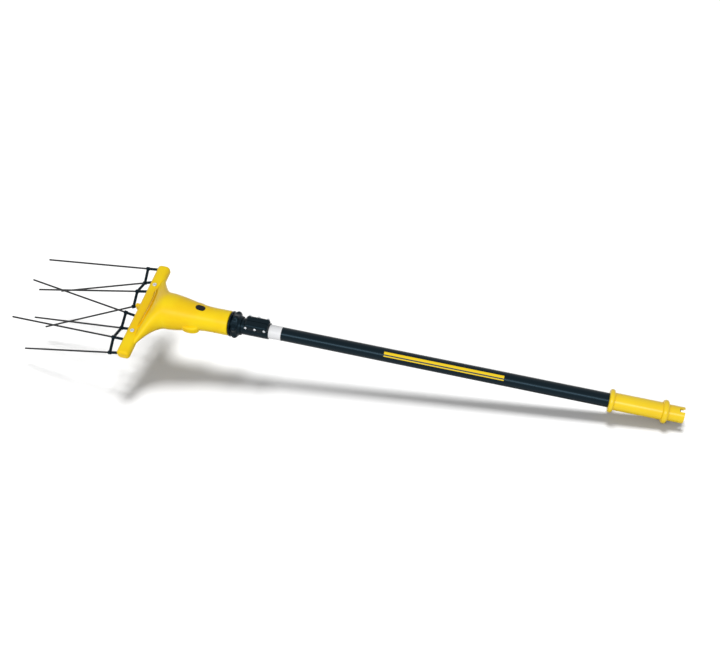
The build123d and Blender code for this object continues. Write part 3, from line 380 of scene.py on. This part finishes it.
def tine_carbon():
    """Pultruded carbon rod: fine streaks along the fibre under a thin resin skin."""
    finish = Finish("tine_carbon", {"Specular IOR Level": 0.35})
    streaks = finish.noise(scale=2600.0, density=FIBRES)
    finish.set({"Base Color": finish.blend(finish.step(streaks, low=0.42, high=0.70), *CARBON_TONES)})
    finish.set({"Roughness": between(streaks, start=0.36, end=0.52)})
    finish.bump(streaks, strength=0.12, distance=0.0002)
    return finish.material


def pole_stripes(finish):
    """1 on the stripes along the pole, 0 elsewhere."""
    along, across, up = finish.split(finish.at)
    turn = finish.node("ShaderNodeMath", {"operation": "ARCTAN2"}, {0: 0.0 - across, 1: up})
    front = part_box("pole_tube")[0].x
    length = (along > front + STRIPE_START) * (along < front + STRIPE_END)
    bands = [abs(turn - math.radians(centre)) < math.radians(half) for centre, half in STRIPES]
    return length * sum(bands)


def pole_paint():
    """Satin blue-black paint with a faint orange peel, rubbed patches and two plain yellow stripes."""
    finish = Finish("pole_paint", {"Specular IOR Level": 0.24, "Specular Tint": BLUE_SHEEN})
    patches = finish.noise(scale=14.0, detail=6.0, density=RUBBING)
    paint = finish.blend(finish.step(patches, low=0.55, high=0.80), *PAINT_TONES)
    stripes = pole_stripes(finish)
    finish.set({"Base Color": finish.blend(stripes, paint, STRIPE_YELLOW)})
    haze = finish.noise(scale=40.0, detail=3.0)
    finish.set({"Roughness": between(haze, start=0.25, end=0.31) + STRIPE_DULLING * stripes})
    peel = finish.noise(scale=420.0)
    finish.bump(peel + STRIPE_THICKNESS * stripes, strength=0.05, distance=0.0004)
    return finish.material


def label_film():
    """Blank white film with a faint roller texture."""
    finish = Finish("label_film", {"Specular IOR Level": 0.4})
    tone = finish.noise(scale=30.0, detail=3.0)
    finish.set({"Base Color": finish.blend(tone, *FILM_TONES)})
    finish.set({"Roughness": between(tone, start=0.34, end=0.46)})
    finish.bump(finish.noise(scale=700.0), strength=0.04, distance=0.0003)
    return finish.material


def dark_plate():
    """Bare dark plate with fine lengthwise brushing."""
    finish = Finish("dark_plate", {"Specular IOR Level": 0.12})
    lines = finish.noise(scale=2200.0, density=BRUSHING)
    finish.set({"Base Color": finish.blend(lines, *PLATE_TONES)})
    finish.set({"Roughness": between(lines, start=0.36, end=0.52)})
    finish.bump(lines, strength=0.10, distance=0.0002)
    return finish.material


def metal(name, tones, rough, scale, density=EVEN):
    """Bare or plated metal with fine tool marks."""
    finish = Finish(name, {"Metallic": 1.0})
    marks = finish.noise(scale, detail=3.0, density=density)
    finish.set({"Base Color": finish.blend(finish.step(marks, low=0.3, high=0.7), *tones)})
    finish.set({"Roughness": rough + METAL_HAZE * marks})
    finish.bump(marks, strength=0.06, distance=0.0002)
    return finish.material


def dull(name, tones, rough, scale):
    """A dull moulded, sintered or painted surface with a fine grain."""
    finish = Finish(name, {"Specular IOR Level": 0.4})
    grain = finish.noise(scale, detail=3.0)
    finish.set({"Base Color": finish.blend(grain, *tones)})
    finish.set({"Roughness": rough + DULL_HAZE * grain})
    finish.bump(grain, strength=0.12, distance=0.0003)
    return finish.material


FINISHES = {
    "housing_yellow": housing_plastic(),
    "handle_yellow": handle_plastic(),
    "black_plastic": black_nylon("clamp_nylon", grain=1100.0),
    "comb_black": black_nylon("comb_nylon", grain=1500.0),
    "tine_carbon": tine_carbon(),
    "pole_paint": pole_paint(),
    "label_white": label_film(),
    "badge_dark": dark_plate(),
    "screw_steel": metal("zinc_plate", ZINC_TONES, rough=0.24, scale=900.0),
    "machined_steel": metal("machined_steel", STEEL_TONES, rough=0.22, scale=1200.0, density=TURNING_MARKS),
    "bronze": metal("bronze", BRONZE_TONES, rough=0.28, scale=1000.0),
    "plate_alloy": metal("plate_alloy", ALLOY_TONES, rough=0.30, scale=800.0),
    "motor_paint": dull("motor_paint", MOTOR_TONES, rough=0.38, scale=300.0),
    "motor_cap_plastic": dull("socket_plastic", SOCKET_TONES, rough=0.42, scale=900.0),
    "magnet_ferrite": dull("ferrite", FERRITE_TONES, rough=0.55, scale=700.0),
    "brush_carbon": dull("brush_carbon", BRUSH_TONES, rough=0.50, scale=1200.0),
    "lead_rubber": dull("lead_rubber", RUBBER_TONES, rough=0.55, scale=600.0),
}


def dress_nodes():
    """Gives every CAD piece the finish of its material slot."""
    for part in frame["record"]["subparts"]:
        mesh = NODES[part["node"]].data
        mesh.materials.clear()
        mesh.materials.append(FINISHES[part["material_slot"]])


# Pieces that repeat or follow a rule, made with Geometry Nodes


class Shape(Graph):
    """A Geometry Nodes tree with named inputs, run to give a plain mesh."""

    def __init__(self, name, inputs):
        super().__init__(bpy.data.node_groups.new(name, "GeometryNodeTree"))
        self.add_socket("Geometry", "INPUT", "NodeSocketGeometry")
        for label, kind in inputs.items():
            self.add_socket(label, "INPUT", kind)
        self.add_socket("Material", "INPUT", "NodeSocketMaterial")
        self.add_socket("Geometry", "OUTPUT", "NodeSocketGeometry")
        self.given = self.node("NodeGroupInput")

    def add_socket(self, label, way, kind):
        self.tree.interface.new_socket(label, in_out=way, socket_type=kind)

    def input(self, label):
        return self.given.output(label)

    def end(self, geometry):
        """Ends the tree with realised instances that carry the piece's material."""
        real = self.node("GeometryNodeRealizeInstances", {}, {"Geometry": geometry})
        sockets = {"Geometry": real, "Material": self.input("Material")}
        self.node("NodeGroupOutput", {}, {"Geometry": self.node("GeometryNodeSetMaterial", {}, sockets)})

    def revolve(self, rounding, sides, swell=None):
        """Turns the given profile, a closed line in X and Y with Y as its radius, about the X axis.

        A flat grid becomes the turned body: its X gives the angle, its Y the point on the rounded profile.
        """
        line = self.node("GeometryNodeMeshToCurve", {}, {"Mesh": self.input("Geometry")})
        sockets = {"Curve": line, "Radius": rounding, "Count": CORNER_POINTS}
        line = self.node("GeometryNodeFilletCurve", {"mode": "POLY"}, sockets)
        line = self.node("GeometryNodeResampleCurve", {"mode": "EVALUATED"}, {"Curve": line})
        settings, sockets = {"component": "CURVE"}, {"Geometry": line}
        count = self.node("GeometryNodeAttributeDomainSize", settings, sockets, "Point Count")
        sockets = {"Size X": 1.0, "Size Y": 1.0, "Vertices X": sides + 1, "Vertices Y": count + 1}
        grid = self.node("GeometryNodeMeshGrid", {}, sockets, "Mesh")
        place = self.node("GeometryNodeInputPosition")
        # The grid reaches from -0.5 to 0.5 both ways
        grid_x, grid_y, _ = self.split(place)
        angle = (grid_x + 0.5) * (2.0 * math.pi)
        index = round((grid_y + 0.5) * count) % count
        settings = {"data_type": "FLOAT_VECTOR", "domain": "POINT"}
        sockets = {"Geometry": line, "Value": place, "Index": index}
        along, radius, _ = self.split(self.node("GeometryNodeSampleIndex", settings, sockets))
        if swell:
            radius = swell(along, radius, angle)
        turned = self.join(along, radius * angle.cosine(), radius * angle.sine())
        body = self.node("GeometryNodeSetPosition", {}, {"Geometry": grid, "Position": turned})
        body = self.node("GeometryNodeMergeByDistance", {}, {"Geometry": body, "Distance": WELD_GAP})
        return self.node("GeometryNodeSetShadeSmooth", {}, {"Geometry": body})


def add_object(name, data):
    """A new object in the scene."""
    made = bpy.data.objects.new(name, data)
    bpy.context.scene.collection.objects.link(made)
    return made


def loop_mesh(name, points):
    """A closed line through (x, y) points."""
    mesh = bpy.data.meshes.new(name)
    count = len(points)
    edges = [(i, (i + 1) % count) for i in range(count)]
    mesh.from_pydata([(x, y, 0.0) for x, y in points], edges, [])
    return mesh


def outward(mesh):
    """Turns all faces of a closed mesh outwards."""
    work = bmesh.new()
    work.from_mesh(mesh)
    bmesh.ops.recalc_face_normals(work, faces=work.faces)
    work.to_mesh(mesh)
    work.free()


def grown(name, shape, mesh, values):
    """A plain mesh piece from a tree, whose inputs are set by identifier before it is evaluated."""
    seed = add_object(name + "_seed", mesh)
    modifier = seed.modifiers.new("shape", "NODES")
    modifier.node_group = shape.tree
    for item in shape.tree.interface.items_tree:
        if item.in_out == "INPUT" and item.name in values:
            modifier[item.identifier] = values[item.name]
    view = bpy.context.evaluated_depsgraph_get()
    made = bpy.data.meshes.new_from_object(seed.evaluated_get(view))
    bpy.data.objects.remove(seed)
    outward(made)
    made.name = name
    return add_object(name, made)


def ring_shape():
    """Coupling ring: a turned profile with grip lobes that swell and fade along the ring."""
    shape = Shape("coupling_ring_shape", {
        "Rounding": "NodeSocketFloat",
        "Sides": "NodeSocketInt",
        "Lobes": "NodeSocketInt",
        "Lobe Rise": "NodeSocketFloat",
        "Lobe Start": "NodeSocketFloat",
        "Lobe End": "NodeSocketFloat",
        "Bore": "NodeSocketFloat",
        "Place": "NodeSocketVector",
    })

    def lobes(along, radius, angle):
        """The radius outside the bore, raised where a lobe stands."""
        start, end = shape.input("Lobe Start"), shape.input("Lobe End")
        part = shape.node("ShaderNodeClamp", {}, {"Value": (along - start) / (end - start)})
        fade = (part * math.pi).sine() ** LOBE_FADE_POWER
        wave = (angle * shape.input("Lobes") + math.pi).cosine()
        crest = (0.5 * wave + 0.5) ** LOBE_CREST_POWER
        return radius + shape.input("Lobe Rise") * fade * crest * (radius > shape.input("Bore"))

    ring = shape.revolve(shape.input("Rounding"), shape.input("Sides"), lobes)
    sockets = {"Geometry": ring, "Translation": shape.input("Place")}
    shape.end(shape.node("GeometryNodeTransform", {}, sockets))
    return shape


def dense(points, step):
    """The same closed line with more points on its long runs."""
    full = []
    for (x0, y0), (x1, y1) in zip(points, points[1:] + points[:1]):
        count = max(1, round(math.hypot(x1 - x0, y1 - y0) / step))
        full += [(x0 + (x1 - x0) * i / count, y0 + (y1 - y0) * i / count) for i in range(count)]
    return full


def make_ring():
    """Replaces the plain coupling ring, at its place and length, by the one with soft lobes."""
    low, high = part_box("coupling_ring")
    length = high.x - low.x
    rear = [(length - x, radius) for x, radius in RING_REAR]
    outline = [(0.0, RING_BORE), *RING_FRONT, *rear, (length, RING_BORE)]
    profile = loop_mesh("ring_profile", dense(outline, RING_STEP))
    ring = grown("coupling_grip", ring_shape(), profile, {
        "Rounding": RING_ROUNDING,
        "Sides": RING_SIDES,
        "Lobes": LOBE_COUNT,
        "Lobe Rise": LOBE_RISE,
        "Lobe Start": LOBE_MARGIN,
        "Lobe End": length - LOBE_MARGIN,
        "Bore": RING_BORE + RING_ROUNDING,
        "Place": (low.x, 0.0, 0.0),
        "Material": FINISHES["black_plastic"],
    })
    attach(ring, "coupling")
    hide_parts("coupling_ring")


def cutters(shape, recess):
    """What is cut from a screw, half above its top: two crossed bars, or one six-sided bar along X."""
    depth = 2.0 * shape.input("Recess Depth")
    if recess == "cross":
        length, width = shape.input("Recess Length"), shape.input("Recess Width")
        sizes = shape.join(depth, length, width), shape.join(depth, width, length)
        return [shape.node("GeometryNodeMeshCube", {}, {"Size": size}, "Mesh") for size in sizes]
    sockets = {"Vertices": HEX_SIDES, "Radius": shape.input("Recess Radius"), "Depth": depth}
    upright = shape.node("GeometryNodeMeshCylinder", {}, sockets, "Mesh")
    sockets = {"Geometry": upright, "Rotation": (0.0, math.pi / 2, 0.0)}
    return [shape.node("GeometryNodeTransform", {}, sockets)]


def screw_shape(recess):
    """A row of equal screws: a turned head and shank with a recess, set on a line and facing one way."""
    shape = Shape(recess + "_screw_row", {
        "Rounding": "NodeSocketFloat",
        "Sides": "NodeSocketInt",
        **dict.fromkeys(RECESSES[recess], "NodeSocketFloat"),
        "Count": "NodeSocketInt",
        "First": "NodeSocketVector",
        "Step": "NodeSocketVector",
        "Facing": "NodeSocketVector",
    })
    screw = shape.revolve(shape.input("Rounding"), shape.input("Sides"))
    for cutter in cutters(shape, recess):
        sockets = {"Mesh 1": screw, "Mesh 2": cutter}
        screw = shape.node("GeometryNodeMeshBoolean", {"operation": "DIFFERENCE"}, sockets, "Mesh")
    first, step = shape.input("First"), shape.input("Step")
    sockets = {"Count": shape.input("Count"), "Start Location": first, "Offset": step}
    row = shape.node("GeometryNodeMeshLine", {"mode": "OFFSET"}, sockets)
    sockets = {"Vector": shape.input("Facing")}
    turn = shape.node("FunctionNodeAlignRotationToVector", {"axis": "X"}, sockets)
    sockets = {"Points": row, "Instance": screw, "Rotation": turn}
    shape.end(shape.node("GeometryNodeInstanceOnPoints", {}, sockets))
    return shape


SCREW_SHAPES = {recess: screw_shape(recess) for recess in RECESSES}


def solids(node):
    """(lowest corner, highest corner) of each separate solid in a CAD node, sorted along X and then Y."""
    mesh = NODES[node].data
    group = {}

    def root(key):
        while group[key] != key:
            key = group[key]
        return key

    keys = [tuple(round(value, POINT_DIGITS) for value in vertex.co) for vertex in mesh.vertices]
    for key in keys:
        group[key] = key
    for face in mesh.polygons:
        first = root(keys[face.vertices[0]])
        for vertex in face.vertices[1:]:
            group[root(keys[vertex])] = first
    boxes = {}
    for key in group:
        low, high = boxes.get(root(key), (key, key))
        boxes[root(key)] = (tuple(map(min, low, key)), tuple(map(max, high, key)))
    return [(Vector(low), Vector(high)) for low, high in sorted(boxes.values())]


def screw_row(name, recess, node, boxes, facing, head_height):
    """Replaces a row of a CAD node's screws: head and shank take their sizes from the solids' boxes."""
    axis = max(range(3), key=lambda i: abs(facing[i]))
    side = min(i for i in range(3) if i != axis)
    low, high = boxes[0]
    head = (high[side] - low[side]) / 2
    length = high[axis] - low[axis]
    shank = head * SHANK_SHARE
    tops = []
    for low, high in boxes:
        top = (low + high) / 2
        top[axis] = high[axis] if facing[axis] > 0 else low[axis]
        tops.append(top)
    rim = ((-length, shank), (-head_height, shank), (-head_height, head), (0.0, head))
    profile = [(-length, AXIS_GAP), *rim, (0.0, AXIS_GAP)]
    piece = grown(name, SCREW_SHAPES[recess], loop_mesh(name + "_profile", profile), {
        "Rounding": HEAD_ROUNDING,
        "Sides": HEAD_SIDES,
        **RECESSES[recess],
        "Count": len(tops),
        "First": tops[0],
        "Step": tops[1] - tops[0],
        "Facing": facing,
        "Material": FINISHES["screw_steel"],
    })
    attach(piece, "harvester")
    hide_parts(node)


def make_screws():
    """The screws on the arms, the clamp and the housing's underside, with recesses in their heads."""
    arms, clamp, housing = solids("arm_screws"), solids("clamp_screws"), solids("housing_screws")
    flare, motor_lugs = housing[:2], housing[2:]
    screw_row("arm_screw_heads", "cross", "arm_screws", arms, UP, ARM_HEAD_HEIGHT)
    screw_row("clamp_screw_heads", "hex", "clamp_screws", clamp, NEAR_SIDE, SMALL_HEAD_HEIGHT)
    screw_row("flare_screw_heads", "cross", "housing_screws", flare, DOWN, SMALL_HEAD_HEIGHT)
    screw_row("motor_lug_screw_heads", "cross", "housing_screws", motor_lugs, DOWN, SMALL_HEAD_HEIGHT)


# Floor, light and camera


def from_angles(azimuth, elevation):
    """Direction from the object to a place, by azimuth and elevation in degrees."""
    turn, rise = math.radians(azimuth), math.radians(elevation)
    return Vector((math.sin(turn) * math.cos(rise), -math.cos(turn) * math.cos(rise), math.sin(rise)))


def stand(thing, place, turn):
    """Puts a floor, lamp or camera at a place, turned."""
    thing.location = place
    thing.rotation_mode = "QUATERNION"
    thing.rotation_quaternion = turn


def points_of(node):
    """A CAD node's points at rest."""
    return [vertex.co for vertex in NODES[node].data.vertices]


def swept_low(body, joint):
    """Lowest point of a comb's tines at the ends of its swing."""
    hinge = Vector(JOINTS[joint]["pos_m"])
    axis = Vector(JOINTS[joint]["axis"])
    turns = [Quaternion(axis, math.radians(angle)) for angle in JOINTS[joint]["range_deg"]]
    points = []
    for node in frame["record"]["behaviour"]["bodies"][body]:
        if node.startswith("tine_"):
            points += points_of(node)
    swept = [turn @ (point - hinge) + hinge for point in points for turn in turns]
    return min(swept, key=lambda point: point.z)


def make_floor():
    """A pale floor under the handle's rear bead and under both combs at their lowest."""
    bead = min(points_of("grip_sleeve"), key=lambda point: (round(point.z, LEVEL_DIGITS), -point.x))
    left, right = swept_low("comb_a", "comb_a_swing"), swept_low("comb_b", "comb_b_swing")
    normal = (left - bead).cross(right - bead).normalized()
    if normal.z < 0:
        normal.negate()
    mesh = bpy.data.meshes.new("floor")
    low, high = -FLOOR_HALF_SIZE, FLOOR_HALF_SIZE
    corners = [(low, low, 0.0), (high, low, 0.0), (high, high, 0.0), (low, high, 0.0)]
    mesh.from_pydata(corners, [], [(0, 1, 2, 3)])
    mesh.materials.append(floor_white())
    floor = add_object("floor", mesh)
    stand(floor, bead - normal * FLOOR_GAP, normal.to_track_quat("Z", "Y"))
    floor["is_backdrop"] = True
    return floor


def seen_rays(graph):
    """1 on rays that show the background, from the camera or by way of a mirror or glass, else 0."""
    path = graph.node("ShaderNodeLightPath")
    seen = path + path.output("Is Glossy Ray") + path.output("Is Transmission Ray")
    return graph.node("ShaderNodeClamp", {}, {"Value": seen})


def floor_white():
    """Matt, and white under its sun where it is seen. What it throws back on the tool is dimmer."""
    finish = Finish("floor_white", {"Roughness": 0.9, "Specular IOR Level": 0.0})
    finish.set({"Base Color": finish.blend(seen_rays(finish), FLOOR_BOUNCE, FLOOR_SEEN)})
    return finish.material


def make_world():
    """White background for the camera and in reflections, and a soft grey sky as light."""
    world = bpy.data.worlds.new("studio")
    world.use_nodes = True
    bpy.context.scene.world = world
    sky = Graph(world.node_tree)
    back = world.node_tree.nodes["Background"]
    sky.plug(back.inputs["Color"], WHITE)
    sky.plug(back.inputs["Strength"], between(seen_rays(sky), start=SKY_STRENGTH, end=1.0))


def add_lamp(light, azimuth, elevation):
    """Puts a lamp in a direction from the object, aimed at it."""
    lamp = add_object(light.name, light)
    way = from_angles(azimuth, elevation)
    stand(lamp, CAMERA_TARGET + way * LAMP_DISTANCE, (-way).to_track_quat("-Z", "Y"))
    return lamp


def make_lights(floor):
    """A long strip softbox on the near side, along the pole, and a sun from behind for the floor alone."""
    sun = bpy.data.lights.new("floor_sun", "SUN")
    sun.angle = math.radians(SUN_WIDTH)
    sun.energy = SUN_STRENGTH
    lamp = add_lamp(sun, SUN_AZIMUTH, SUN_ELEVATION)
    lit = bpy.data.collections.new("lit_by_sun")
    lit.objects.link(floor)
    lamp.light_linking.receiver_collection = lit
    strip = bpy.data.lights.new("strip", "AREA")
    strip.shape = "RECTANGLE"
    strip.size, strip.size_y = STRIP_LENGTH, STRIP_WIDTH
    strip.energy = STRIP_POWER
    add_lamp(strip, STRIP_AZIMUTH, STRIP_ELEVATION)


def make_camera():
    """A camera that sees the tool as the photograph does."""
    data = bpy.data.cameras.new("photo_camera")
    data.lens = CAMERA_LENS
    data.shift_x, data.shift_y = CAMERA_SHIFT
    camera = add_object("photo_camera", data)
    back = from_angles(CAMERA_AZIMUTH, CAMERA_ELEVATION)
    roll = Quaternion((0.0, 0.0, 1.0), math.radians(CAMERA_ROLL))
    stand(camera, CAMERA_TARGET + back * CAMERA_DISTANCE, (-back).to_track_quat("-Z", "Y") @ roll)
    bpy.context.scene.camera = camera


bpy.context.scene.view_settings.view_transform = "Standard"
dress_nodes()
make_ring()
make_screws()
floor = make_floor()
make_world()
make_lights(floor)
make_camera()

boxes = {"cad": [list(corner) for corner in CAD_BOX], "visual": [list(corner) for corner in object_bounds()]}
